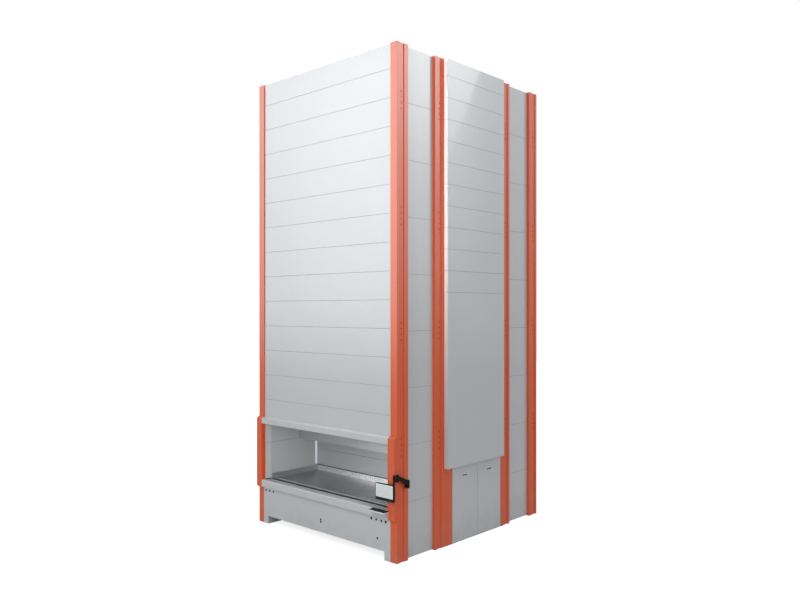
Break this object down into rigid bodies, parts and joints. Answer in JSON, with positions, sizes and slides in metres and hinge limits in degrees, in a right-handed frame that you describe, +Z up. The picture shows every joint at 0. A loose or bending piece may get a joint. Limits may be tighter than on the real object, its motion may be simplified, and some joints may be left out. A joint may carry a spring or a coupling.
{
  "type": "vertical lift module",
  "caption": "Tall free-standing automatic store with an orange frame and grey panels, a lift carriage inside, an access opening with a tray in front, and service doors at the side.",
  "frame": {"origin": "on the floor, under the middle of the whole outline", "axes": "+Z up, -Y towards the access opening, +X towards the side with the service doors and the screen"},
  "size_m": [2.852, 3.213, 6.3],
  "materials": {
    "orange_paint": "satin orange powder coat",
    "grey_paint": "semi-gloss light grey coat",
    "zinc_sheet": "galvanised sheet",
    "bright_steel": "turned steel",
    "motor_paint": "dark grey paint",
    "black_plastic": "matt black",
    "black_paint": "satin black paint",
    "belt_rubber": "matt",
    "light_cover": "opal",
    "display": "glossy"
  },
  "bodies": {
    "cabinet": {"base_frame": "zinc_sheet", "front_posts": "orange_paint", "rear_posts": "orange_paint", "mid_posts": "orange_paint", "top_frame": "zinc_sheet", "front_panels": "grey_paint", "rear_panels": "grey_paint", "front_bay_panels": "grey_paint", "rear_bay_panels": "grey_paint", "right_cover_panels": "grey_paint", "left_cover_panels": "grey_paint", "roof_panel": "grey_paint", "lintel": "grey_paint", "sill": "grey_paint", "base_panel": "grey_paint", "left_guard": "orange_paint", "right_guard": "orange_paint", "light_curtains": "black_plastic", "opening_linings": "grey_paint", "hood": "grey_paint", "light_strips": "light_cover", "hatch_guides": "zinc_sheet", "front_racks": "zinc_sheet", "rear_racks": "zinc_sheet", "guide_rails": "zinc_sheet", "lift_belts": "belt_rubber", "lift_gear_motor": "motor_paint", "shaft_bearings": "motor_paint", "idler_brackets": "zinc_sheet", "door_frame": "zinc_sheet", "door_strip": "orange_paint", "hinge_pins": "bright_steel", "keypad_shelf": "grey_paint", "keypad": "black_plastic", "panel_plugs": "black_plastic", "arm_bracket": "black_paint"},
    "hatch": {"hatch": "grey_paint"},
    "carriage": {"carriage_frame": "zinc_sheet", "guide_shoes": "black_plastic", "belt_clamps": "zinc_sheet", "extractor_belts": "belt_rubber", "extractor_motor": "motor_paint"},
    "extractor": {"extractor_bar": "zinc_sheet"},
    "extractor_drive": {"extractor_shaft": "bright_steel"},
    "lift_drive": {"drive_shaft": "bright_steel", "drive_pulleys": "bright_steel"},
    "idlers": {"top_idlers": "bright_steel"},
    "access_tray": {"access_tray": "zinc_sheet"},
    "front_tray_low": {"front_tray_low": "zinc_sheet"},
    "front_tray_high": {"front_tray_high": "zinc_sheet"},
    "rear_tray_low": {"rear_tray_low": "zinc_sheet"},
    "rear_tray_high": {"rear_tray_high": "zinc_sheet"},
    "front_door": {"front_door": "grey_paint"},
    "rear_door": {"rear_door": "grey_paint"},
    "arm_link": {"arm_link": "black_paint"},
    "screen_support": {"screen_support": "black_paint"},
    "screen": {"screen": "black_plastic", "screen_glass": "display"},
    "right_button": {"right_button": "black_plastic"},
    "left_button": {"left_button": "black_plastic"}
  },
  "joints": [
    {"name": "lift", "type": "slide", "parent": "cabinet", "child": "carriage", "axis": [0, 0, 1], "range_m": [-0.2, 5.15]},
    {"name": "lift_drive_turn", "type": "hinge", "parent": "cabinet", "child": "lift_drive", "pos_m": [0, 0.0665, 0.18], "axis": [1, 0, 0], "range_deg": [-4760, 190]},
    {"name": "idler_turn", "type": "hinge", "parent": "cabinet", "child": "idlers", "pos_m": [0, 0.0665, 6.05], "axis": [1, 0, 0], "range_deg": [-4760, 190]},
    {"name": "extractor_slide", "type": "slide", "parent": "carriage", "child": "extractor", "axis": [0, 1, 0], "range_m": [-0.42, 0.42]},
    {"name": "extractor_turn", "type": "hinge", "parent": "carriage", "child": "extractor_drive", "pos_m": [0, 0.5165, 0.573], "axis": [1, 0, 0], "range_deg": [-1020, 1020]},
    {"name": "access_tray_slide", "type": "slide", "parent": "cabinet", "child": "access_tray", "axis": [0, 1, 0], "range_m": [0, 1.017]},
    {"name": "front_tray_low_slide", "type": "slide", "parent": "cabinet", "child": "front_tray_low", "axis": [0, 1, 0], "range_m": [0, 1.017]},
    {"name": "front_tray_high_slide", "type": "slide", "parent": "cabinet", "child": "front_tray_high", "axis": [0, 1, 0], "range_m": [0, 1.017]},
    {"name": "rear_tray_low_slide", "type": "slide", "parent": "cabinet", "child": "rear_tray_low", "axis": [0, -1, 0], "range_m": [0, 1.017]},
    {"name": "rear_tray_high_slide", "type": "slide", "parent": "cabinet", "child": "rear_tray_high", "axis": [0, -1, 0], "range_m": [0, 1.017]},
    {"name": "hatch_lift", "type": "slide", "parent": "cabinet", "child": "hatch", "axis": [0, 0, 1], "range_m": [0, 0.45]},
    {"name": "front_door_hinge", "type": "hinge", "parent": "cabinet", "child": "front_door", "pos_m": [1.355, -0.4025, 0.5], "axis": [0, 0, -1], "range_deg": [0, 110]},
    {"name": "rear_door_hinge", "type": "hinge", "parent": "cabinet", "child": "rear_door", "pos_m": [1.355, 0.6565, 0.5], "axis": [0, 0, 1], "range_deg": [0, 110]},
    {"name": "arm_swivel", "type": "hinge", "parent": "cabinet", "child": "arm_link", "pos_m": [1.399, -1.3135, 0.95], "axis": [0, 0, 1], "range_deg": [0, 100]},
    {"name": "elbow_swivel", "type": "hinge", "parent": "arm_link", "child": "screen_support", "pos_m": [1.399, -1.5035, 1.054], "axis": [0, 0, 1], "range_deg": [0, 80]},
    {"name": "screen_tilt", "type": "hinge", "parent": "screen_support", "child": "screen", "pos_m": [1.362, -1.5375, 0.866], "axis": [1, 0, 0], "range_deg": [-10, 10]},
    {"name": "right_button_press", "type": "slide", "parent": "cabinet", "child": "right_button", "axis": [0, 1, 0], "range_m": [0, 0.004], "stiffness_N_per_m": 500},
    {"name": "left_button_press", "type": "slide", "parent": "cabinet", "child": "left_button", "axis": [0, 1, 0], "range_m": [0, 0.004], "stiffness_N_per_m": 500}
  ],
  "couplings": [
    {"joint": "lift_drive_turn", "follows": "lift", "rad_per_m": -15.924},
    {"joint": "idler_turn", "follows": "lift", "rad_per_m": -15.924},
    {"joint": "extractor_turn", "follows": "extractor_slide", "rad_per_m": -42.017}
  ]
}
